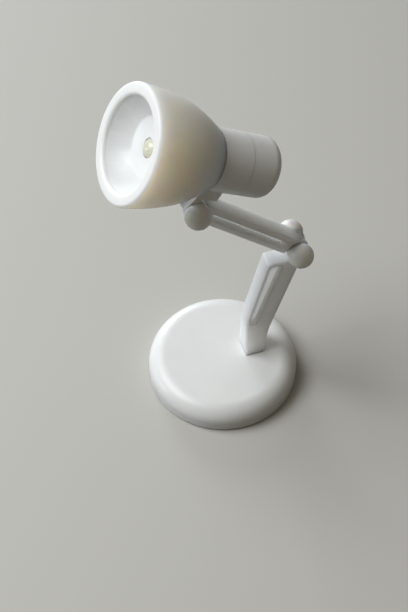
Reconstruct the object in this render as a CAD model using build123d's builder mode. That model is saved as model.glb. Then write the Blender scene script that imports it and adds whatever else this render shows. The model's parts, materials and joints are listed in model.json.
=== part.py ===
from build123d import *
import math
import os

# Small battery desk lamp: round weighted base, two-piece arm, bell-shaped head.
# +Z is up, the origin is the middle of the underside, the lamp faces -Y and its pivots run along X.

# Fits
seat_gap = 0.02
slide_gap = 0.05
run_gap = 0.08
air_gap = 0.35

# Base
base_radius = 19.0
base_height = 7.0
base_edge_round = 4.2
base_foot_round = 0.4
base_wall = 1.8
rim_lift = 0.3
pad_thickness = 0.8
pad_margin = 0.8
cover_thickness = 1.1
boss_inset = 0.5
cover_screw_count = 3
cover_screw_first_deg = -30.0
cover_boss_radius = 1.9
cover_screw_radius = 0.7
cover_head_radius = 1.45
cover_screw_length = 3.8
countersink_taper_deg = 45.0
weight_gap = 0.5
roof_bite = 0.5

# Lower arm, seen from the side
arm_half_width = 2.2
foot_half_width = 2.8
foot_setback = 13.65
foot_depth = 4.9
foot_back_lean = 1.1
bend_front_z = 20.2
bend_back_z = 15.4
shoulder_lean = 4.85
shoulder_z = 42.0
back_lean = 13.35
bend_round = 24.0
arm_edge_round = 0.4
taper_z = 20.0
flange_thickness = 0.75
spine_depth = 4.3
pocket_top_wall = 0.95
pocket_bottom_z = 19.2
pocket_round = 0.8
web_half = 0.35
tenon_half_width = 1.8
tenon_half_depth = 1.8
tenon_bottom_z = 3.6
socket_bottom_z = 3.3
socket_half_width = 3.4
socket_half_depth = 3.6
socket_round = 1.0
arm_screw_radius = 1.0
arm_screw_top_z = 8.4
arm_head_radius = 1.9
arm_head_height = 0.9
arm_washer_radius = 3.1
arm_washer_thickness = 0.38
drive_width = 0.45
drive_length = 2.2
drive_depth = 0.4

# Hinges
elbow_reach = 12.25
elbow_z = 45.1
upper_length = 34.4
upper_rise_deg = 43.1
pin_radius = 0.75
pin_half_length = 3.4
tongue_half = 0.6
ear_radius = 2.65
ear_inset = 0.05
washer_thickness = 0.35
washer_radius = 2.5
cap_ball_radius = 3.07
cap_ball_x = 3.72

# Upper arm
upper_half_depth = 2.5
groove_half_width = 0.6
groove_end = 4.6
groove_floor_half = 0.3
groove_draft_deg = 10.0

# Head, measured from the middle of the rim and backwards along its axis
head_tilt_deg = 29.8
head_drop = 13.7
pivot_back = 3.8
rim_radius = 13.0
rim_inner_radius = 10.1
rim_outer_round = 0.8
rim_inner_round = 0.9
neck_radius = 6.75
bell_length = 20.2
bell_depth_shares = (0.20, 0.40, 0.60, 0.80, 0.90)
bell_radius_shares = (0.974, 0.923, 0.842, 0.704, 0.617)
ledge_depth = 1.6
ledge_width = 0.35
cavity_taper = 2.9
cavity_radius = 8.4
board_ledge_radius = 4.6
board_ledge_height = 0.65
bore_length = 6.65
bore_radius = 5.25

# Reflector bowl and light source
bowl_mid_radius = 8.55
bowl_mid_depth = 3.15
disc_radius = 6.6
disc_depth = 5.2
disc_thickness = 1.1
guide_radius = 3.5
guide_length = 2.2
led_radius = 2.5
led_standoff = 0.57
led_lip_radius = 2.15
led_lip_thickness = 0.3
led_flange_radius = 2.9
led_flange_height = 1.0
led_length = 8.6
lead_pitch = 2.54
lead_side = 0.5
lead_stub = 0.43
post_lead_depth = 3.8
cup_depth = 2.5
cup_radius = 1.15
cup_height = 1.1
cup_mouth_radius = 1.0
cup_floor_radius = 0.7
cup_recess = 0.5
board_radius = 4.9
board_thickness = 1.0
lead_hole_radius = 0.42
resistor_length = 2.0
resistor_width = 1.0
resistor_height = 0.45
resistor_offset = 3.7

# Battery tube, cells and twist cap
tube_end_gap = 0.7
tube_radius = 5.2
tube_inner_radius = 4.1
cell_radius = 3.95
cell_height = 5.4
cell_terminal_radius = 3.0
cell_terminal_height = 0.3
cell_count = 3
contact_radius = 3.2
contact_thickness = 0.3
contact_boss_radius = 1.2
contact_boss_height = 0.53
strip_half_width = 0.8
strip_thickness = 0.3
strip_slot_depth = 0.4
ring_setback = 2.55
ring_wire_radius = 0.22
collar_length = 7.2
post_inset = 0.15
post_inner_radius = 5.7
post_setback = 1.05
post_lean_deg = 7.5
gusset_lift = 3.7
end_cap_radius = 6.84
end_cap_floor = 1.5
end_cap_round = 2.6
cap_contact_radius = 3.9
cap_contact_thickness = 0.4
cap_contact_length = 2.2

# Places that follow from the values above
cover_bottom = pad_thickness + seat_gap
cover_top = cover_bottom + cover_thickness
cavity_top = base_height - base_wall
base_bore = base_radius - base_wall
pad_radius = base_bore - pad_margin
cover_screw_circle = base_bore - cover_boss_radius - boss_inset
weight_radius = cover_screw_circle - cover_boss_radius - weight_gap
foot_front_y = base_radius - foot_setback
foot_y = foot_front_y + foot_depth / 2
shoulder_front_y = foot_front_y + shoulder_lean
back_top_y = foot_front_y + back_lean
elbow_y = foot_front_y + elbow_reach
fork_half = tongue_half + washer_thickness + 2 * slide_gap
ear_sweep = ear_radius + air_gap
ear_half = arm_half_width - ear_inset
rise = math.radians(upper_rise_deg)
head_y = elbow_y - upper_length * math.cos(rise)
head_z = elbow_z + upper_length * math.sin(rise)
head_back = bell_length + pivot_back
tilt = math.radians(head_tilt_deg)
back_dir = Vector(0, math.cos(tilt), -math.sin(tilt))
up_dir = Vector(0, math.sin(tilt), math.cos(tilt))
head_pivot = Vector(0, head_y, head_z)
rim_center = head_pivot - back_dir * head_back + up_dir * head_drop
head_plane = Plane(origin=rim_center, x_dir=up_dir, z_dir=(-1, 0, 0))
head_axis = Axis(rim_center, back_dir)
arm_plane = Plane(
    origin=(0, elbow_y, elbow_z),
    x_dir=(0, -math.cos(rise), math.sin(rise)),
    z_dir=(1, 0, 0),
)
gusset_foot = -head_drop + gusset_lift
led_hole_radius = led_radius + slide_gap
bore_depth = bell_length - bore_length
board_ledge_depth = bore_depth - board_ledge_height
cavity_depth = board_ledge_depth - cavity_taper
board_front = bore_depth + seat_gap
board_back = board_front + board_thickness
led_tip = board_front - led_standoff - led_length
lead_end = board_back + lead_stub
lead_top = led_tip + post_lead_depth
cup_front = led_tip + cup_depth
guide_end = disc_depth + disc_thickness + guide_length
contact_front = lead_end + slide_gap
cells_front = contact_front + contact_boss_height + seat_gap
cells_end = cells_front + cell_count * (cell_height + seat_gap)
collar_front = bell_length + seat_gap
collar_back = collar_front + collar_length
post_back = collar_back - post_inset
end_cap_front = collar_back + seat_gap
end_cap_inside = cells_end + slide_gap + cap_contact_length + seat_gap
end_cap_end = end_cap_inside + end_cap_floor
tube_front = board_back + slide_gap
tube_end = end_cap_inside - tube_end_gap
ring_depth = tube_end - ring_setback
bell_points = [
    (rim_radius * radius_share, bell_length * depth_share)
    for radius_share, depth_share in zip(bell_radius_shares, bell_depth_shares)
]


def head_at(depth):
    """Plane square to the head's axis at a depth behind the rim; its local x is the part's X."""
    return Plane(origin=rim_center + back_dir * depth, x_dir=(1, 0, 0), z_dir=back_dir)


def bell_curve(extra):
    """Outer line of the bell from rim to neck, moved outwards by a clearance."""
    points = [(rim_radius + extra, 0)]
    points += [(radius + extra, depth) for radius, depth in bell_points]
    points += [(neck_radius + extra, bell_length)]
    return Spline(*points)


def post_front(height):
    """Depth of the post's leaning front face, which touches the ears, at a height over the head's axis."""
    lean = math.radians(post_lean_deg)
    return head_back - ear_radius / math.cos(lean) + (height + head_drop) * math.tan(lean)


def hinge_pin(y, z):
    """Plain steel pin across a hinge."""
    with BuildPart() as pin:
        with BuildSketch(Plane.YZ):
            with Locations((y, z)):
                Circle(pin_radius)
        extrude(amount=pin_half_length, both=True)
    return pin.part


def hinge_caps(y, z):
    """Two ball caps pushed over the ends of a hinge pin."""
    with BuildPart() as caps:
        with Locations((cap_ball_x, y, z)):
            Sphere(cap_ball_radius)
        split(bisect_by=Plane.YZ.offset(ear_half + slide_gap), keep=Keep.TOP)
        with BuildSketch(Plane.YZ):
            with Locations((y, z)):
                Circle(pin_radius + seat_gap)
        extrude(amount=pin_half_length + slide_gap, mode=Mode.SUBTRACT)
        mirror(about=Plane.YZ)
    return caps.part


def hinge_washers(y, z):
    """Two thin washers between a tongue and its ears."""
    with BuildPart() as washers:
        with BuildSketch(Plane.YZ.offset(tongue_half + slide_gap)):
            with Locations((y, z)):
                Circle(washer_radius)
                Circle(pin_radius + slide_gap, mode=Mode.SUBTRACT)
        extrude(amount=washer_thickness)
        mirror(about=Plane.YZ)
    return washers.part


os.makedirs("parts", exist_ok=True)


def save(part, label):
    """Name a piece and write it out."""
    part.label = label
    export_step(part, f"parts/{label}.step")


# Base shell: a moulded puck, hollow from below, with a socket for the arm and three screw bosses.
with BuildPart() as base_shell:
    with BuildSketch(Plane.XY.offset(rim_lift)):
        Circle(base_radius)
    extrude(amount=base_height - rim_lift)
    fillet(base_shell.faces().sort_by(Axis.Z)[-1].edges(), base_edge_round)
    fillet(base_shell.faces().sort_by(Axis.Z)[0].edges(), base_foot_round)
    with BuildSketch(Plane.XZ):
        with Locations((0, rim_lift)):
            Rectangle(base_bore, cavity_top - rim_lift, align=(Align.MIN, Align.MIN))
        fillet(vertices().group_by(Axis.Y)[-1].sort_by(Axis.X)[-1], base_edge_round - base_wall)
    revolve(axis=Axis.Z, mode=Mode.SUBTRACT)
    with BuildSketch(Plane.XY.offset(socket_bottom_z)):
        with Locations((0, foot_y)):
            RectangleRounded(2 * socket_half_width, 2 * socket_half_depth, socket_round)
    extrude(amount=cavity_top + roof_bite - socket_bottom_z)
    with BuildSketch(Plane.XY.offset(cover_top + seat_gap)):
        with PolarLocations(cover_screw_circle, cover_screw_count, start_angle=cover_screw_first_deg):
            Circle(cover_boss_radius)
    extrude(amount=cavity_top + roof_bite - cover_top - seat_gap)
    with BuildSketch(Plane.XY.offset(cover_top)):
        with PolarLocations(cover_screw_circle, cover_screw_count, start_angle=cover_screw_first_deg):
            Circle(cover_screw_radius + seat_gap)
    extrude(amount=cover_screw_length, mode=Mode.SUBTRACT)
    with BuildSketch(Plane.XY.offset(base_height)):
        with Locations((0, foot_y)):
            Rectangle(2 * (tenon_half_width + slide_gap), 2 * (tenon_half_depth + slide_gap))
    extrude(amount=socket_bottom_z - base_height, mode=Mode.SUBTRACT)
save(base_shell.part, "base_shell")

# Bottom cover: a flat disc let into the shell, with countersunk holes for its screws.
with BuildPart() as base_cover:
    with BuildSketch(Plane.XY.offset(cover_bottom)):
        Circle(base_bore - 2 * slide_gap)
    extrude(amount=cover_thickness)
    with PolarLocations(cover_screw_circle, cover_screw_count, start_angle=cover_screw_first_deg):
        with Locations(Location((0, 0, cover_bottom), (180, 0, 0))):
            CounterSinkHole(
                cover_screw_radius + slide_gap,
                cover_head_radius + slide_gap,
                counter_sink_angle=2 * countersink_taper_deg,
            )
save(base_cover.part, "base_cover")

# Cover screws: small countersunk screws with a cross drive.
with BuildPart() as cover_screws:
    head_height = cover_head_radius - cover_screw_radius
    with BuildSketch(Plane.XY.offset(cover_bottom)):
        with PolarLocations(cover_screw_circle, cover_screw_count, start_angle=cover_screw_first_deg):
            Circle(cover_head_radius)
    extrude(amount=head_height, taper=countersink_taper_deg)
    with BuildSketch(Plane.XY.offset(cover_bottom + head_height / 2)):
        with PolarLocations(cover_screw_circle, cover_screw_count, start_angle=cover_screw_first_deg):
            Circle(cover_screw_radius)
    extrude(amount=cover_screw_length)
    with BuildSketch(Plane.XY.offset(cover_bottom)):
        with PolarLocations(cover_screw_circle, cover_screw_count, start_angle=cover_screw_first_deg):
            Rectangle(2 * cover_screw_radius, drive_width)
            Rectangle(drive_width, 2 * cover_screw_radius)
    extrude(amount=drive_depth, mode=Mode.SUBTRACT)
save(cover_screws.part, "cover_screws")

# Foam pad glued under the cover.
with BuildPart() as base_pad:
    with BuildSketch():
        Circle(pad_radius)
    extrude(amount=pad_thickness)
save(base_pad.part, "base_pad")

# Steel weight, notched round the arm's socket.
with BuildPart() as base_weight:
    with BuildSketch(Plane.XY.offset(cover_top + seat_gap)):
        Circle(weight_radius)
        with Locations((0, foot_y - socket_half_depth - air_gap)):
            Rectangle(
                2 * (socket_half_width + air_gap),
                weight_radius,
                align=(Align.CENTER, Align.MIN),
                mode=Mode.SUBTRACT,
            )
    extrude(amount=cavity_top - cover_top - 2 * seat_gap)
save(base_weight.part, "base_weight")

# Lower arm: a bent beam with a pocket on each side, a tenon below and two hinge ears above.
back_slope = (back_top_y - foot_front_y - foot_depth - foot_back_lean) / (shoulder_z - bend_back_z)
front_slope = (shoulder_front_y - foot_front_y) / (shoulder_z - bend_front_z)
bend_back_y = foot_front_y + foot_depth + foot_back_lean
pocket_top_z = shoulder_z - pocket_top_wall
with BuildPart() as lower_arm:
    with BuildSketch(Plane.YZ):
        with BuildLine():
            Polyline(
                (foot_front_y, base_height + seat_gap),
                (foot_front_y, bend_front_z),
                (shoulder_front_y, shoulder_z),
                (back_top_y, shoulder_z),
                (bend_back_y, bend_back_z),
                (foot_front_y + foot_depth, base_height + seat_gap),
                close=True,
            )
        make_face()
        bends = vertices().filter_by_position(Axis.Y, base_height + air_gap, shoulder_z - air_gap)
        fillet(bends, bend_round)
    extrude(amount=foot_half_width, both=True)
    with BuildSketch(Plane.XZ):
        with BuildLine():
            Polyline(
                (arm_half_width, taper_z),
                (arm_half_width, shoulder_z),
                (-arm_half_width, shoulder_z),
                (-arm_half_width, taper_z),
            )
            TangentArc((-arm_half_width, taper_z), (-foot_half_width, base_height), tangent=(0, -1))
            Line((-foot_half_width, base_height), (foot_half_width, base_height))
            TangentArc((arm_half_width, taper_z), (foot_half_width, base_height), tangent=(0, -1))
        make_face()
    extrude(amount=2 * back_top_y, both=True, mode=Mode.INTERSECT)
    cross_edges = lower_arm.edges().filter_by(Axis.X)
    upper_edges = lower_arm.edges().filter_by_position(Axis.Z, base_height + air_gap, shoulder_z)
    fillet(upper_edges - cross_edges + cross_edges.group_by(Axis.Z)[-1], arm_edge_round)
    for side in (1, -1):
        with BuildSketch(Plane.YZ.offset(side * web_half)):
            with BuildLine():
                front_low = foot_front_y + flange_thickness
                front_top = shoulder_front_y - pocket_top_wall * front_slope + flange_thickness
                rear_low = bend_back_y + (pocket_bottom_z - bend_back_z) * back_slope - spine_depth
                rear_top = back_top_y - pocket_top_wall * back_slope - spine_depth
                Polyline(
                    (front_low, pocket_bottom_z),
                    (front_low, bend_front_z),
                    (front_top, pocket_top_z),
                    (rear_top, pocket_top_z),
                    (rear_low, pocket_bottom_z),
                    close=True,
                )
            make_face()
            fillet(vertices(), pocket_round)
        extrude(amount=side * foot_half_width, mode=Mode.SUBTRACT)
    with BuildSketch(Plane.YZ):
        with Locations((elbow_y, elbow_z)):
            Circle(ear_radius)
        with BuildLine():
            Polyline(
                (elbow_y - ear_radius, pocket_top_z),
                (back_top_y - arm_edge_round, pocket_top_z),
                (elbow_y, elbow_z),
                close=True,
            )
        make_face()
        make_hull()
    extrude(amount=ear_half, both=True)
    with BuildSketch(Plane.YZ.offset(-fork_half)):
        with Locations((elbow_y, shoulder_z)):
            Rectangle(4 * ear_radius, 4 * ear_radius, align=(Align.CENTER, Align.MIN))
    extrude(amount=2 * fork_half, mode=Mode.SUBTRACT)
    with BuildSketch(Plane.YZ):
        with Locations((elbow_y, elbow_z)):
            Circle(pin_radius + seat_gap)
    extrude(amount=arm_half_width, both=True, mode=Mode.SUBTRACT)
    with BuildSketch(Plane.XY.offset(tenon_bottom_z)):
        with Locations((0, foot_y)):
            Rectangle(2 * tenon_half_width, 2 * tenon_half_depth)
    extrude(amount=base_height + 2 * seat_gap - tenon_bottom_z)
    with BuildSketch(Plane.XY.offset(tenon_bottom_z)):
        with Locations((0, foot_y)):
            Circle(arm_screw_radius + seat_gap)
    extrude(amount=arm_screw_top_z + air_gap - tenon_bottom_z, mode=Mode.SUBTRACT)
save(lower_arm.part, "lower_arm")

# Washer and screw that pull the tenon into its socket.
washer_top = socket_bottom_z - seat_gap
washer_bottom = washer_top - arm_washer_thickness
with BuildPart() as arm_washer:
    with BuildSketch(Plane.XY.offset(washer_bottom)):
        with Locations((0, foot_y)):
            Circle(arm_washer_radius)
            Circle(arm_screw_radius + slide_gap, mode=Mode.SUBTRACT)
    extrude(amount=arm_washer_thickness)
save(arm_washer.part, "arm_washer")

with BuildPart() as arm_screw:
    with BuildSketch(Plane.XY.offset(washer_bottom - seat_gap)):
        with Locations((0, foot_y)):
            Circle(arm_head_radius)
    extrude(amount=-arm_head_height)
    with BuildSketch(Plane.XY.offset(washer_bottom - seat_gap)):
        with Locations((0, foot_y)):
            Circle(arm_screw_radius)
    extrude(amount=arm_screw_top_z - washer_bottom)
    with BuildSketch(Plane.XY.offset(washer_bottom - seat_gap - arm_head_height)):
        with Locations((0, foot_y)):
            Rectangle(drive_length, drive_width)
            Rectangle(drive_width, drive_length)
    extrude(amount=drive_depth, mode=Mode.SUBTRACT)
save(arm_screw.part, "arm_screw")

# Upper arm: a straight bar with a groove along each side and a flat tongue at both ends.
with BuildPart() as upper_arm:
    with BuildSketch(arm_plane):
        with Locations((upper_length / 2, 0)):
            SlotCenterToCenter(upper_length, 2 * upper_half_depth)
    extrude(amount=arm_half_width, both=True)
    fillet(upper_arm.faces().filter_by(Axis.X).edges(), arm_edge_round)
    for side in (1, -1):
        with BuildSketch(arm_plane.offset(side * tongue_half)):
            with Locations((0, 0), (upper_length, 0)):
                Circle(ear_sweep)
            Rectangle(ear_sweep, 2 * upper_half_depth, align=(Align.MIN, Align.MIN))
        extrude(amount=side * arm_half_width, mode=Mode.SUBTRACT)
        with BuildSketch(arm_plane.offset(side * groove_floor_half)):
            with Locations((upper_length / 2, 0)):
                SlotOverall(upper_length - 2 * groove_end, 2 * groove_half_width)
        extrude(amount=side * arm_half_width, taper=-groove_draft_deg, mode=Mode.SUBTRACT)
    with BuildSketch(arm_plane):
        with Locations((0, 0), (upper_length, 0)):
            Circle(pin_radius + slide_gap)
    extrude(amount=arm_half_width, both=True, mode=Mode.SUBTRACT)
save(upper_arm.part, "upper_arm")

# Hinge hardware at the elbow and under the head.
save(hinge_pin(elbow_y, elbow_z), "elbow_pin")
save(hinge_caps(elbow_y, elbow_z), "elbow_caps")
save(hinge_washers(elbow_y, elbow_z), "elbow_washers")
save(hinge_pin(head_y, head_z), "head_pin")
save(hinge_caps(head_y, head_z), "head_caps")
save(hinge_washers(head_y, head_z), "head_washers")

# Shade: a thick-walled bell with a rounded rim, a ledge for the reflector and a bored neck.
with BuildPart() as shade:
    with BuildSketch(head_plane):
        with BuildLine():
            outer = bell_curve(0)
            Polyline(
                outer @ 1,
                (bore_radius, bell_length),
                (bore_radius, bore_depth),
                (board_ledge_radius, bore_depth),
                (board_ledge_radius, board_ledge_depth),
                (cavity_radius, cavity_depth),
                (rim_inner_radius - ledge_width, ledge_depth),
                (rim_inner_radius, ledge_depth),
                (rim_inner_radius, 0),
                outer @ 0,
            )
        make_face()
    revolve(axis=head_axis)
    rim_edges = shade.faces().sort_by(head_axis)[0].edges().sort_by(SortBy.RADIUS)
    fillet(rim_edges[0], rim_inner_round)
    rim_edges = shade.faces().sort_by(head_axis)[0].edges().sort_by(SortBy.RADIUS)
    fillet(rim_edges[-1], rim_outer_round)
save(shade.part, "shade")

# Reflector: a bowl on the shade's ledge with a flat disc, a hole and a guide for the light source.
with BuildPart() as reflector:
    with BuildSketch(head_plane):
        with BuildLine():
            lip_radius = rim_inner_radius - seat_gap
            bowl = ThreePointArc(
                (lip_radius, rim_inner_round),
                (bowl_mid_radius, bowl_mid_depth),
                (disc_radius, disc_depth),
            )
            Polyline(
                bowl @ 1,
                (led_lip_radius, disc_depth),
                (led_lip_radius, disc_depth + led_lip_thickness),
                (led_hole_radius, disc_depth + led_lip_thickness),
                (led_hole_radius, guide_end),
                (guide_radius, guide_end),
                (guide_radius, disc_depth + disc_thickness),
                (disc_radius, disc_depth + disc_thickness),
                (bowl_mid_radius + disc_thickness / 2, bowl_mid_depth + disc_thickness / 2),
                (rim_inner_radius - ledge_width - slide_gap, ledge_depth - seat_gap),
                (lip_radius, ledge_depth - seat_gap),
                bowl @ 0,
            )
        make_face()
    revolve(axis=head_axis)
save(reflector.part, "reflector")

# Light source: a clear round lens cast over two leads, one ending in a cup full of yellow phosphor.
led_base = led_tip + led_length
with BuildPart() as led_lens:
    with BuildSketch(head_plane):
        with BuildLine():
            dome = CenterArc((0, led_tip + led_radius), led_radius, -90, 90)
            Polyline(
                dome @ 1,
                (led_radius, led_base - led_flange_height),
                (led_flange_radius, led_base - led_flange_height),
                (led_flange_radius, led_base),
                (0, led_base),
                dome @ 0,
            )
        make_face()
    revolve(axis=head_axis)
    with BuildSketch(head_at(cup_front - seat_gap)):
        Circle(cup_radius + seat_gap)
    extrude(amount=cup_height + 2 * seat_gap, mode=Mode.SUBTRACT)
    with BuildSketch(head_at(cup_front + cup_recess)):
        with Locations((0, lead_pitch / 2 + lead_side / 2 + seat_gap)):
            Rectangle(
                lead_side + 2 * seat_gap,
                lead_pitch / 2 + lead_side / 2 + seat_gap,
                align=(Align.CENTER, Align.MAX),
            )
    extrude(amount=cup_height - cup_recess + seat_gap, mode=Mode.SUBTRACT)
    with BuildSketch(head_at(cup_front + cup_height - seat_gap)):
        with Locations((0, lead_pitch / 2)):
            Rectangle(lead_side + 2 * seat_gap, lead_side + 2 * seat_gap)
    extrude(amount=led_length, mode=Mode.SUBTRACT)
    with BuildSketch(head_at(lead_top - seat_gap)):
        with Locations((0, -lead_pitch / 2)):
            Rectangle(lead_side + 2 * seat_gap, lead_side + 2 * seat_gap)
    extrude(amount=led_length, mode=Mode.SUBTRACT)
save(led_lens.part, "led_lens")

with BuildPart() as led_frame:
    with BuildSketch(head_plane):
        with BuildLine():
            Polyline(
                (0, cup_front + cup_recess),
                (cup_floor_radius, cup_front + cup_recess),
                (cup_mouth_radius, cup_front),
                (cup_radius, cup_front),
                (cup_radius, cup_front + cup_height),
                (0, cup_front + cup_height),
                close=True,
            )
        make_face()
    revolve(axis=head_axis)
    with BuildSketch(head_at(cup_front + cup_recess + seat_gap)):
        with Locations((0, lead_pitch / 2 + lead_side / 2)):
            Rectangle(lead_side, lead_pitch / 2 + lead_side / 2, align=(Align.CENTER, Align.MAX))
    extrude(amount=cup_height - cup_recess - seat_gap)
    with BuildSketch(head_at(cup_front + cup_recess + seat_gap)):
        with Locations((0, lead_pitch / 2)):
            Rectangle(lead_side, lead_side)
    extrude(amount=lead_end - cup_front - cup_recess - seat_gap)
    with BuildSketch(head_at(lead_top)):
        with Locations((0, -lead_pitch / 2)):
            Rectangle(lead_side, lead_side)
    extrude(amount=lead_end - lead_top)
save(led_frame.part, "led_frame")

with BuildPart() as led_die:
    with BuildSketch(head_plane):
        with BuildLine():
            Polyline(
                (0, cup_front),
                (cup_mouth_radius - seat_gap, cup_front),
                (cup_floor_radius - seat_gap, cup_front + cup_recess - seat_gap),
                (0, cup_front + cup_recess - seat_gap),
                close=True,
            )
        make_face()
    revolve(axis=head_axis)
save(led_die.part, "led_die")

# Round circuit board behind the light source, with its resistor.
with BuildPart() as led_board:
    with BuildSketch(head_at(board_front)):
        Circle(board_radius)
        with Locations((0, lead_pitch / 2), (0, -lead_pitch / 2)):
            Circle(lead_hole_radius, mode=Mode.SUBTRACT)
    extrude(amount=board_thickness)
save(led_board.part, "led_board")

with BuildPart() as resistor:
    with BuildSketch(head_at(board_front - seat_gap - resistor_height)):
        with Locations((0, resistor_offset)):
            Rectangle(resistor_length, resistor_width)
    extrude(amount=resistor_height)
save(resistor.part, "resistor")

# Battery tube: a moulded sleeve pressed into the shade's neck, grooved for the friction ring and the strip.
with BuildPart() as battery_tube:
    with BuildSketch(head_at(tube_front)):
        Circle(tube_radius)
        Circle(tube_inner_radius, mode=Mode.SUBTRACT)
    extrude(amount=tube_end - tube_front)
    with BuildSketch(head_at(tube_front)):
        Rectangle(
            2 * (strip_half_width + slide_gap),
            tube_inner_radius + strip_slot_depth,
            align=(Align.CENTER, Align.MAX),
        )
    extrude(amount=tube_end - tube_front, mode=Mode.SUBTRACT)
    with BuildSketch(head_plane):
        with Locations((tube_radius, ring_depth)):
            Rectangle(4 * ring_wire_radius - 2 * slide_gap, 2 * (ring_wire_radius + slide_gap))
    revolve(axis=head_axis, mode=Mode.SUBTRACT)
save(battery_tube.part, "battery_tube")

with BuildPart() as cap_ring:
    with BuildSketch(head_plane):
        with Locations((tube_radius + slide_gap - ring_wire_radius, ring_depth)):
            Circle(ring_wire_radius)
    revolve(axis=head_axis)
save(cap_ring.part, "cap_ring")

with BuildPart() as contact_strip:
    with BuildSketch(head_at(tube_front + slide_gap)):
        with Locations((0, -tube_inner_radius - slide_gap)):
            Rectangle(2 * strip_half_width, strip_thickness, align=(Align.CENTER, Align.MAX))
    extrude(amount=tube_end - tube_front - 2 * slide_gap)
save(contact_strip.part, "contact_strip")

# Pressed contact on the board's back, and three button cells behind it.
with BuildPart() as front_contact:
    with BuildSketch(head_at(contact_front)):
        Circle(contact_radius)
    extrude(amount=contact_thickness)
    with BuildSketch(head_at(contact_front)):
        Circle(contact_boss_radius)
    extrude(amount=contact_boss_height)
save(front_contact.part, "front_contact")

with BuildPart() as battery_cells:
    for cell in range(cell_count):
        start = cells_front + cell * (cell_height + seat_gap)
        with BuildSketch(head_at(start)):
            Circle(cell_terminal_radius)
        extrude(amount=cell_height)
        with BuildSketch(head_at(start + cell_terminal_height)):
            Circle(cell_radius)
        extrude(amount=cell_height - cell_terminal_height)
save(battery_cells.part, "battery_cells")

# Neck bracket: a collar round the tube behind the shade, a post under the bell and two hinge ears.
with BuildPart() as neck_bracket:
    with BuildSketch(head_plane):
        with Locations((-head_drop, head_back)):
            Circle(ear_radius)
        with BuildLine():
            Polyline(
                (gusset_foot, post_front(gusset_foot)),
                (gusset_foot, head_back - post_setback),
                (-head_drop, head_back),
                close=True,
            )
        make_face()
        make_hull()
    extrude(amount=ear_half, both=True)
    with BuildSketch(head_plane):
        with BuildLine():
            Polyline(
                (gusset_foot, post_front(gusset_foot)),
                (-post_inner_radius, post_front(-post_inner_radius)),
                (-post_inner_radius, post_back),
                (gusset_foot, post_back),
                close=True,
            )
        make_face()
    extrude(amount=ear_half, both=True)
    with BuildSketch(head_at(collar_front)):
        Circle(end_cap_radius)
    extrude(amount=collar_length)
    with BuildSketch(head_plane):
        with BuildLine():
            cutter = bell_curve(slide_gap)
            Polyline(
                cutter @ 1,
                (neck_radius + slide_gap, collar_front),
                (0, collar_front),
                (0, 0),
                cutter @ 0,
            )
        make_face()
    revolve(axis=head_axis, mode=Mode.SUBTRACT)
    with BuildSketch(head_at(collar_front)):
        Circle(tube_radius + slide_gap)
    extrude(amount=collar_length, mode=Mode.SUBTRACT)
    with BuildSketch(head_plane):
        with Locations((-head_drop, head_back)):
            Circle(ear_sweep + air_gap)
    extrude(amount=fork_half, both=True, mode=Mode.SUBTRACT)
    with BuildSketch(head_plane):
        with Locations((-head_drop, head_back)):
            Circle(pin_radius + seat_gap)
    extrude(amount=arm_half_width, both=True, mode=Mode.SUBTRACT)
save(neck_bracket.part, "neck_bracket")

# End cap: the smooth rear cylinder, turned to switch the lamp, with a pressed contact inside.
with BuildPart() as end_cap:
    with BuildSketch(head_at(end_cap_front)):
        Circle(end_cap_radius)
    extrude(amount=end_cap_end - end_cap_front)
    fillet(end_cap.faces().sort_by(head_axis)[-1].edges(), end_cap_round)
    with BuildSketch(head_at(end_cap_front)):
        Circle(tube_radius + run_gap)
    extrude(amount=end_cap_inside - end_cap_front, mode=Mode.SUBTRACT)
save(end_cap.part, "end_cap")

with BuildPart() as cap_contact:
    contact_back = end_cap_inside - seat_gap
    with BuildSketch(head_at(contact_back)):
        Circle(cap_contact_radius)
    extrude(amount=-cap_contact_thickness)
    with BuildSketch(head_at(contact_back)):
        Circle(contact_boss_radius)
    extrude(amount=-cap_contact_length)
save(cap_contact.part, "cap_contact")
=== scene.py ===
import json
import math

import bpy
from mathutils import Matrix, Vector


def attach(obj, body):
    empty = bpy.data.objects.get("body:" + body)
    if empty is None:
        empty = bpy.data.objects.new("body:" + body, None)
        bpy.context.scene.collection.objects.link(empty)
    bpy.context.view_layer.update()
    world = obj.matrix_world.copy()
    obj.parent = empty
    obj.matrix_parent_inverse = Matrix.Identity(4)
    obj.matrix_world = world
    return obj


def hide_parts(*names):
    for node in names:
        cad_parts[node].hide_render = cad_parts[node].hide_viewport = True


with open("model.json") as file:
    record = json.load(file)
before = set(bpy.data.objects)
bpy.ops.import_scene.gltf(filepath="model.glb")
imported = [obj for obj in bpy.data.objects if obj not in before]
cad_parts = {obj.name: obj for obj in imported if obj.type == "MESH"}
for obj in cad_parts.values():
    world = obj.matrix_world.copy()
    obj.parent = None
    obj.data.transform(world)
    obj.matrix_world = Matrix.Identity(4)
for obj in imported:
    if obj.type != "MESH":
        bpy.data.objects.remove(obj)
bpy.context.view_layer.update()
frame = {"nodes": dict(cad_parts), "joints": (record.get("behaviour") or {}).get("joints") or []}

# Base shell: the round foot of the lamp, one hollow moulding in white gloss plastic. The mould
# leaves it smooth with a faint ripple, and handling leaves fine rub marks. A socket in its roof
# takes the lower arm.


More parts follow.
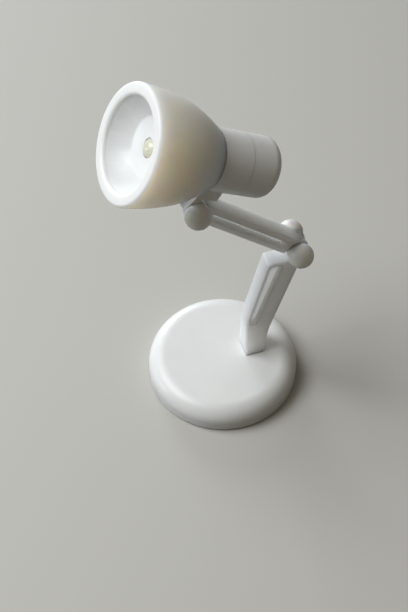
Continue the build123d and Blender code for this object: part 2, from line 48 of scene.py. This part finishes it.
class Signal:
    """A socket of a material. Sums and products of signals and numbers add their Math nodes."""

    def __init__(self, tree, socket=None):
        self.tree = tree
        self.socket = socket

    def node(self, kind, settings=None, links=None, out=0):
        """Add a node: its settings first, then the values or signals of its sockets."""
        made = self.tree.nodes.new(kind)
        for key, value in (settings or {}).items():
            if key == "stops":
                for element, (position, colour) in zip(made.color_ramp.elements, value):
                    element.position = position
                    element.color = (*colour, 1.0)
            else:
                setattr(made, key, value)
        for key, value in (links or {}).items():
            if isinstance(value, Signal):
                self.tree.links.new(value.socket, made.inputs[key])
            else:
                made.inputs[key].default_value = value
        return Signal(self.tree, made.outputs[out])

    def maths(self, operation, first, second):
        """Add a Math node for two values or signals."""
        return self.node("ShaderNodeMath", {"operation": operation}, {0: first, 1: second})

    def __add__(self, other):
        return self.maths("ADD", self, other)

    def __radd__(self, other):
        return self.maths("ADD", other, self)

    def __mul__(self, other):
        return self.maths("MULTIPLY", self, other)

    def __rmul__(self, other):
        return self.maths("MULTIPLY", other, self)

    def into(self, shader, socket):
        """Feed this signal to a socket of the shader."""
        self.tree.links.new(self.socket, shader.inputs[socket])


def start_material(name):
    """A new material, its shader and the place on the surface in metres."""
    material = bpy.data.materials.new(name)
    material.use_nodes = True
    tree = material.node_tree
    place = Signal(tree).node("ShaderNodeTexCoord", out="Object")
    return material, tree.nodes["Principled BSDF"], place


def set_plain(shader, values):
    """Set what is the same all over the surface."""
    for socket, value in values.items():
        shader.inputs[socket].default_value = value


def noise(place, per_metre, detail, rough=0.55):
    """Soft clouds from 0 to 1, so many to the metre."""
    return place.node(
        "ShaderNodeTexNoise",
        {"noise_dimensions": "3D"},
        {"Vector": place, "Scale": per_metre, "Detail": detail, "Roughness": rough},
        out="Fac",
    )


def two_tone(share, dark, light):
    """Two colours mixed by a signal, which is 0 for the dark one and 1 for the light one."""
    dark_socket, light_socket, colour_out = 6, 7, 2
    return share.node(
        "ShaderNodeMix",
        {"data_type": "RGBA", "clamp_factor": True},
        {"Factor": share, dark_socket: (*dark, 1.0), light_socket: (*light, 1.0)},
        out=colour_out,
    )


def relief(height, strength, depth):
    """Fine bumps in the surface, from a signal for their height and a depth in metres."""
    return height.node(
        "ShaderNodeBump", None, {"Strength": strength, "Distance": depth, "Height": height}
    )


def dress(material, *names):
    """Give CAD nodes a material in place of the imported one."""
    for name in names:
        mesh = frame["nodes"][name].data
        mesh.materials.clear()
        mesh.materials.append(material)


even_tint = (1.0, 0.95, 0.88)


def white_moulding(
    name, colour, shadow_colour, rough=0.34, glow=0.8, glow_depth=0.0006, glow_tint=even_tint
):
    """White moulded plastic: a cloudy tone, soft ripple, rub marks and light that soaks in."""
    material, shader, place = start_material(name)
    clouds = noise(place, per_metre=160.0, detail=4.0)
    two_tone(clouds, shadow_colour, colour).into(shader, "Base Color")

    smoothest = rough - 0.06
    rub_dulling = 0.07
    patch_dulling = 0.06
    rubs = noise(place, per_metre=2600.0, detail=5.0, rough=0.7)
    patches = noise(place, per_metre=300.0, detail=2.0)
    (smoothest + rubs * rub_dulling + patches * patch_dulling).into(shader, "Roughness")

    grain_share = 0.12
    ripple = noise(place, per_metre=420.0, detail=1.0)
    grain = noise(place, per_metre=7000.0, detail=2.0)
    relief(ripple + grain * grain_share, strength=0.25, depth=0.00003).into(shader, "Normal")

    set_plain(
        shader,
        {
            "Subsurface Weight": glow,
            "Subsurface Radius": glow_tint,
            "Subsurface Scale": glow_depth,
            "IOR": 1.5,
        },
    )
    return material


white = white_moulding("white_gloss_moulding", (0.86, 0.855, 0.84), (0.815, 0.81, 0.79))
dress(white, "base_shell")

# Bottom of the base: a dull white moulded lid let into the shell and held by three small steel
# screws, with a disc of dark foam stuck under it. A steel weight is shut inside, and a steel
# screw and washer pull the arm's tenon into its socket.
dull_white = white_moulding(
    "inner_moulding", (0.78, 0.775, 0.75), (0.72, 0.715, 0.69), rough=0.5, glow=0.3
)
dress(dull_white, "base_cover")

foam, foam_shader, place = start_material("dark_foam")
bubbles_per_metre = 3200.0
bubble_colour = (0.012, 0.012, 0.013)
wall_colour = (0.05, 0.05, 0.052)
wall_start = 0.7
bubbles = place.node(
    "ShaderNodeTexVoronoi",
    {"feature": "F1"},
    {"Vector": place, "Scale": bubbles_per_metre},
    out="Distance",
)
foam_tone = bubbles.node(
    "ShaderNodeValToRGB",
    {"stops": [(0.0, bubble_colour), (wall_start, wall_colour)]},
    {"Fac": bubbles},
)
foam_tone.into(foam_shader, "Base Color")
relief(bubbles, strength=0.6, depth=0.0001).into(foam_shader, "Normal")
set_plain(foam_shader, {"Roughness": 0.95})
dress(foam, "base_pad")


def metal(name, colour, dull_colour, rough):
    """Plain sheet or turned metal with fine streaks and a patchy dull film."""
    material, shader, place = start_material(name)
    film = noise(place, per_metre=900.0, detail=4.0)
    two_tone(film, dull_colour, colour).into(shader, "Base Color")
    smoothest = rough - 0.08
    streak_dulling = 0.16
    streaks = noise(place, per_metre=5200.0, detail=3.0)
    (smoothest + streaks * streak_dulling).into(shader, "Roughness")
    relief(streaks, strength=0.2, depth=0.00002).into(shader, "Normal")
    set_plain(shader, {"Metallic": 1.0})
    return material


steel = metal("plated_steel", (0.62, 0.62, 0.61), (0.5, 0.5, 0.5), rough=0.32)
dress(steel, "cover_screws", "base_weight", "arm_screw", "arm_washer")

# Lower arm: a bent beam moulded in white plastic, with a thin web between a slim front flange and
# a thick spine, a tenon below and two ears above. The tenon is drawn into the base by the screw,
# and the thin walls let light through.
thin_white = white_moulding(
    "thin_moulding", (0.94, 0.94, 0.93), (0.92, 0.92, 0.91), glow=1.0, glow_depth=0.005
)
dress(thin_white, "lower_arm")

# Elbow and head hinge: in each, a steel pin runs through two ears and the flat tongue between
# them, with a nylon washer on each side of the tongue. A white ball cap is pushed over each end
# of the pin.
dress(steel, "elbow_pin", "head_pin")
nylon = white_moulding("nylon", (0.74, 0.735, 0.7), (0.7, 0.69, 0.655), rough=0.42)
dress(nylon, "elbow_washers", "head_washers")
warm_tint = (1.0, 0.7, 0.42)
ball_white = white_moulding(
    "ball_moulding",
    (0.86, 0.85, 0.83),
    (0.82, 0.81, 0.79),
    glow=1.0,
    glow_depth=0.0025,
    glow_tint=warm_tint,
)
dress(ball_white, "elbow_caps", "head_caps")

# Upper arm: a straight bar moulded in the same thin white plastic, with a groove along each side.
# The flat tongue at each end turns on its pin, between the ears of the lower arm and between
# those of the neck bracket.
dress(thin_white, "upper_arm")

# Neck bracket: one moulding in white gloss plastic. Its collar sits round the battery tube behind
# the bell, and its post under the bell ends in the two ears of the head hinge.
dress(white, "neck_bracket")

# Shade and reflector bowl: a thick bell of milky white plastic with the bowl pressed in behind its
# rounded rim. No joint shows, so they are one body, drawn inwards ring by ring from the bell's lip.
# Light turns warmer as it soaks through the sides, while rim, bowl and disc are a plainer white.
cap_twist = next(joint for joint in frame["joints"] if joint["name"] == "cap_twist")
head_axis = Vector(cap_twist["axis"])
head_point = Vector(cap_twist["pos_m"])


def head_depth(point):
    """How far back a point lies along the head's axis."""
    return head_axis.dot(point - head_point)


def from_axis(point):
    """The way from the head's axis straight out to a point."""
    return point - head_point - head_axis * head_depth(point)


def select_open_edges(piece, belongs):
    """Select the open edges whose points all belong to the loops wanted."""
    bpy.ops.object.mode_set(mode="EDIT")
    bpy.ops.mesh.select_mode(type="EDGE")
    bpy.ops.mesh.select_all(action="DESELECT")
    bpy.ops.mesh.select_non_manifold(extend=False)
    bpy.ops.object.mode_set(mode="OBJECT")
    points = piece.data.vertices
    for edge in piece.data.edges:
        edge.select = edge.select and all(belongs(points[i].co) for i in edge.vertices)
    bpy.ops.object.mode_set(mode="EDIT")


# A merged copy of the shade keeps its outside and its rim, and loses its inside.
bell = bpy.data.objects.new("bell_and_bowl", frame["nodes"]["shade"].data.copy())
bpy.context.scene.collection.objects.link(bell)
bpy.ops.object.select_all(action="DESELECT")
bpy.context.view_layer.objects.active = bell
bell.select_set(True)
merge_gap = 0.000002
bpy.ops.object.mode_set(mode="EDIT")
bpy.ops.mesh.select_mode(type="FACE")
bpy.ops.mesh.select_all(action="SELECT")
bpy.ops.mesh.remove_doubles(threshold=merge_gap)
bpy.ops.object.mode_set(mode="OBJECT")
rim_front = min(head_depth(vertex.co) for vertex in bell.data.vertices)
lip_radius = 0.0101
lip_depth = 0.0009
facing_out = 0.1
for face in bell.data.polygons:
    outwards = face.normal.dot(from_axis(face.center).normalized())
    in_front = head_depth(face.center) < rim_front + lip_depth
    face.select = outwards < facing_out and not in_front
bpy.ops.object.mode_set(mode="EDIT")
bpy.ops.mesh.delete(type="FACE")

# The rings of the new inside, each with its radius and its depth behind the rim: the bowl, its
# disc, the hole with a lip in front of the lens, the room for the flange and the neck's bore.
bowl_rings = (
    (0.00988, 0.00124),
    (0.00967, 0.00158),
    (0.00946, 0.00191),
    (0.00923, 0.00224),
    (0.009, 0.00256),
    (0.00876, 0.00288),
    (0.00852, 0.00319),
    (0.00826, 0.0035),
    (0.008, 0.0038),
    (0.00774, 0.00409),
    (0.00746, 0.00438),
    (0.00718, 0.00466),
    (0.00689, 0.00493),
)
disc_radius, disc_depth = 0.0066, 0.0052
hole_radius, hole_lip_end = 0.00215, 0.0055
guide_radius, guide_end = 0.00255, 0.0085
flange_room_radius, flange_room_end = 0.003, 0.013
neck_bore_radius, neck_end = 0.0053, 0.0202
inside_rings = (
    *bowl_rings,
    (disc_radius, disc_depth),
    (hole_radius, disc_depth),
    (hole_radius, hole_lip_end),
    (guide_radius, hole_lip_end),
    (guide_radius, guide_end),
    (flange_room_radius, guide_end),
    (flange_room_radius, flange_room_end),
    (neck_bore_radius, flange_room_end),
    (neck_bore_radius, neck_end),
)
select_open_edges(bell, lambda point: head_depth(point) < rim_front + disc_depth)
last_radius, last_depth = lip_radius, lip_depth
for ring_radius, ring_depth in inside_rings:
    step_in = head_axis * (ring_depth - last_depth)
    bpy.ops.mesh.extrude_region_move(TRANSFORM_OT_translate={"value": step_in})
    growth = ring_radius / last_radius
    ring_middle = head_point + head_axis * (rim_front + ring_depth)
    bpy.ops.transform.resize(value=(growth, growth, growth), center_override=ring_middle)
    last_radius, last_depth = ring_radius, ring_depth
select_open_edges(bell, lambda point: True)
bpy.ops.mesh.bridge_edge_loops()
bpy.ops.mesh.select_all(action="SELECT")
bpy.ops.mesh.normals_make_consistent(inside=False)
bpy.ops.object.mode_set(mode="OBJECT")
bell_crease = math.radians(35.0)
bpy.ops.object.shade_smooth_by_angle(angle=bell_crease)

milky = white_moulding(
    "milky_moulding",
    (0.88, 0.87, 0.85),
    (0.85, 0.84, 0.815),
    glow=1.0,
    glow_depth=0.012,
    glow_tint=warm_tint,
)
# The bowl and its disc are the rim's plastic, given darker whites than the rim as painted shade in
# the hollow.
shaded_bowl_white = white_moulding("bowl_painted_shade", (0.78, 0.78, 0.77), (0.76, 0.76, 0.75), glow=0.3)
shaded_disc_white = white_moulding("disc_painted_shade", (0.82, 0.82, 0.81), (0.8, 0.8, 0.79), glow=0.3)
bell.data.materials.clear()
for finish in (milky, shaded_bowl_white, shaded_disc_white, white):
    bell.data.materials.append(finish)
shaded_bowl_finish, shaded_disc_finish, rim_finish = 1, 2, 3
disc_play = 0.0001
rim_facing = 0.6
rim_middle = 0.0115
for face in bell.data.polygons:
    reach = from_axis(face.center).length
    behind_rim = head_depth(face.center) - rim_front
    in_mouth = reach < lip_radius
    faces_front = face.normal.dot(-head_axis) > rim_facing
    if in_mouth and lip_depth < behind_rim < disc_depth - disc_play:
        face.material_index = shaded_bowl_finish
    elif in_mouth and abs(behind_rim - disc_depth) < disc_play:
        face.material_index = shaded_disc_finish
    elif behind_rim < lip_depth and (faces_front or reach < rim_middle):
        face.material_index = rim_finish
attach(bell, "head")
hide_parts("shade", "reflector")

# Light source: a lens of slightly cloudy, pale yellow resin over two steel leads and a chip under
# yellow phosphor. The resin is cast round the leads, so the lens is solid, with a dome in front
# and a flange behind.
lens_depths = [head_depth(vertex.co) for vertex in frame["nodes"]["led_lens"].data.vertices]
lens_front = min(lens_depths)
lens_length = max(lens_depths) - lens_front
lens_radius = 0.0025
flange_radius = 0.0029
flange_height = 0.001
dome_segments = 64
dome_rings = 32
bpy.ops.object.select_all(action="DESELECT")
bpy.ops.mesh.primitive_uv_sphere_add(
    segments=dome_segments, ring_count=dome_rings, radius=lens_radius
)
lens = bpy.context.object
lens.name = "clear_lens"
bpy.ops.object.mode_set(mode="EDIT")
bpy.ops.mesh.select_all(action="SELECT")
bpy.ops.mesh.bisect(plane_co=(0.0, 0.0, 0.0), plane_no=(0.0, 0.0, 1.0), clear_inner=True)
body_drop = (0.0, 0.0, -(lens_length - lens_radius - flange_height))
bpy.ops.mesh.extrude_region_move(TRANSFORM_OT_translate={"value": body_drop})
bpy.ops.mesh.extrude_region_move()
flange_growth = flange_radius / lens_radius
bpy.ops.transform.resize(value=(flange_growth, flange_growth, 1.0))
bpy.ops.mesh.extrude_region_move(TRANSFORM_OT_translate={"value": (0.0, 0.0, -flange_height)})
bpy.ops.mesh.edge_face_add()
bpy.ops.mesh.select_all(action="SELECT")
bpy.ops.mesh.normals_make_consistent(inside=False)
bpy.ops.object.mode_set(mode="OBJECT")
lens.rotation_euler = (-head_axis).to_track_quat("Z", "Y").to_euler()
lens.location = head_point + head_axis * (lens_front + lens_radius)
bpy.ops.object.transform_apply(location=True, rotation=True, scale=True)
lens_crease = math.radians(40.0)
bpy.ops.object.shade_smooth_by_angle(angle=lens_crease)

resin, resin_shader, place = start_material("clear_resin")
smoothest_resin = 0.02
haze_dulling = 0.05
haze = noise(place, per_metre=1800.0, detail=3.0)
(smoothest_resin + haze * haze_dulling).into(resin_shader, "Roughness")
set_plain(
    resin_shader,
    {"Base Color": (1.0, 0.98, 0.78, 1.0), "Transmission Weight": 0.35, "IOR": 1.5},
)
lens.data.materials.append(resin)
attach(lens, "head")
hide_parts("led_lens")


def mottled(name, dark, light, per_metre, rough):
    """A plain dull surface with a fine mottle of two tones."""
    material, shader, place = start_material(name)
    mottle = noise(place, per_metre, detail=2.0)
    two_tone(mottle, dark, light).into(shader, "Base Color")
    set_plain(shader, {"Roughness": rough})
    return material


phosphor = mottled(
    "yellow_phosphor", (0.88, 0.72, 0.16), (0.95, 0.86, 0.36), per_metre=9000.0, rough=0.7
)
dress(phosphor, "led_die")
dress(steel, "led_frame")

# Circuit board: a round piece of white laminate shut in behind the bowl. The leads of the light
# source go through its two holes, and a black resistor is soldered to its front.
laminate = mottled(
    "board_laminate", (0.72, 0.72, 0.68), (0.8, 0.8, 0.77), per_metre=2400.0, rough=0.4
)
dress(laminate, "led_board")
black = mottled(
    "dull_black", (0.012, 0.012, 0.014), (0.03, 0.03, 0.034), per_metre=6000.0, rough=0.55
)
dress(black, "resistor")

# Battery tube, cells and contacts: a dull white moulded sleeve pressed into the bell's neck, with
# three steel button cells in it. A pressed brass contact meets them in front, and a brass strip
# lies in a slot along the tube.
dress(dull_white, "battery_tube")
dress(steel, "battery_cells")
brass = metal("pressed_brass", (0.78, 0.58, 0.26), (0.62, 0.45, 0.19), rough=0.3)
dress(brass, "front_contact", "contact_strip")

# End cap: the smooth rear cylinder, one moulding in white gloss plastic with a pressed brass
# contact inside. A black ring on the battery tube holds it by friction, and it is turned by hand
# to switch the lamp.
dress(white, "end_cap")
dress(brass, "cap_contact")
dress(black, "cap_ring")

# Floor: a plain pale sheet under the lamp. It looks pale to the camera and in shiny surfaces, but
# throws little light back, so the lower side of the lamp keeps its shade.
floor_size = 6.0
bounce_colour = (0.1, 0.1, 0.085)
seen_colour = (0.56, 0.54, 0.5)
bpy.ops.object.select_all(action="DESELECT")
bpy.ops.mesh.primitive_plane_add(size=floor_size, location=(0.0, 0.0, 0.0))
floor = bpy.context.object
floor.name = "floor"
pale, pale_shader, place = start_material("pale_floor")
seen_direct = place.node("ShaderNodeLightPath", out="Is Camera Ray")
seen_in_gloss = place.node("ShaderNodeLightPath", out="Is Glossy Ray")
seen_through = place.node("ShaderNodeLightPath", out="Is Transmission Ray")
seen = seen_direct + seen_in_gloss + seen_through
two_tone(seen, bounce_colour, seen_colour).into(pale_shader, "Base Color")
set_plain(pale_shader, {"Roughness": 0.8})
floor.data.materials.append(pale)

# Light: a dim warm room, a broad soft light high in front of the lamp, a second one low on its
# far side that shines through the thin plastic, and a small one low in front for the bowl.
room_colour = (1.0, 0.91, 0.75, 1.0)
room_strength = 0.16
world = bpy.data.worlds.new("studio")
bpy.context.scene.world = world
world.use_nodes = True
set_plain(
    world.node_tree.nodes["Background"], {"Color": room_colour, "Strength": room_strength}
)


def soft_lamp(name, towards, distance, size, power, colour):
    """A square soft light on the side given, looking at the middle of the lamp."""
    light = bpy.data.lights.new(name, "AREA")
    light.shape = "SQUARE"
    light.size = size
    light.energy = power
    light.color = colour
    lamp = bpy.data.objects.new(name, light)
    middle = Vector((0.0, 0.0, 0.05))
    way = Vector(towards).normalized()
    lamp.location = middle + way * distance
    lamp.rotation_euler = way.to_track_quat("Z", "Y").to_euler()
    bpy.context.scene.collection.objects.link(lamp)


cool = (0.91, 0.955, 1.0)
cooler = (0.86, 0.94, 1.0)
soft_lamp("key_light", (-0.35, -0.95, 1.35), distance=0.6, size=0.4, power=3.3, colour=cool)
soft_lamp("side_light", (-1.0, -0.1, 0.2), distance=0.8, size=0.3, power=3.0, colour=cooler)
soft_lamp("front_light", (-0.25, -1.0, 0.12), distance=0.8, size=0.2, power=0.9, colour=cooler)

# Camera: it stands where the photograph was taken from, high up on the lamp's near side. Two
# angles and a distance place it, and a small step sideways and up frames the lamp as there.
azimuth = math.radians(72.48)
height_angle = math.radians(54.27)
view_distance = 0.35657
aim_right = -0.004792
aim_up = 0.01598
focal_pixels = 1372.0
picture_height = 612.0
sensor_height = 24.0
near_clip = 0.01
right = Vector((math.cos(azimuth), math.sin(azimuth), 0.0))
back = Vector(
    (
        math.sin(azimuth) * math.cos(height_angle),
        -math.cos(azimuth) * math.cos(height_angle),
        math.sin(height_angle),
    )
)
up = back.cross(right)
camera_data = bpy.data.cameras.new("camera")
camera_data.sensor_fit = "VERTICAL"
camera_data.sensor_height = sensor_height
camera_data.lens = focal_pixels / picture_height * sensor_height
camera_data.clip_start = near_clip
camera = bpy.data.objects.new("camera", camera_data)
stand = Matrix.Translation(back * view_distance + right * aim_right + up * aim_up)
camera.matrix_world = stand @ Matrix((right, up, back)).transposed().to_4x4()
bpy.context.scene.collection.objects.link(camera)
bpy.context.scene.camera = camera
bpy.context.scene.view_settings.view_transform = "Standard"
